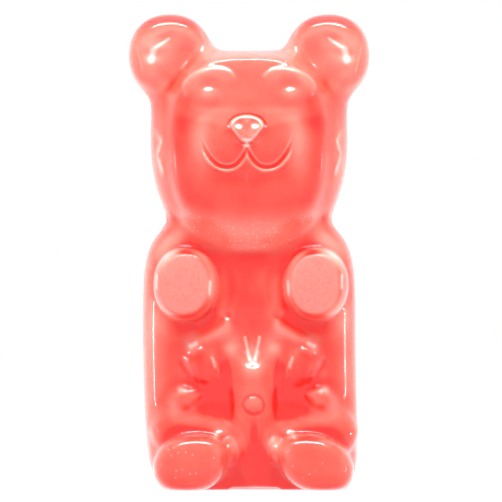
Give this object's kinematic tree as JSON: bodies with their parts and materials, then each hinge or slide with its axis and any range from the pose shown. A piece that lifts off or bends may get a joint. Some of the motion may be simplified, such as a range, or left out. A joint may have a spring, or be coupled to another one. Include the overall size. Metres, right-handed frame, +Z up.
{
  "type": "gummy bear candy",
  "caption": "Moulded jelly bear sitting upright, with round dished ears, stub arms, flat paws and a rounded back.",
  "frame": {"origin": "bottom centre of the bounding box, on the surface the bear stands on", "axes": "+Z up through the head, -Y out of the face, +X towards the bear's left hand"},
  "size_m": [0.0644, 0.0384, 0.127],
  "materials": {
    "jelly": "glossy translucent coral jelly, matte on the two paw faces"
  },
  "bodies": {
    "root": {"bear": "jelly"}
  },
  "joints": []
}
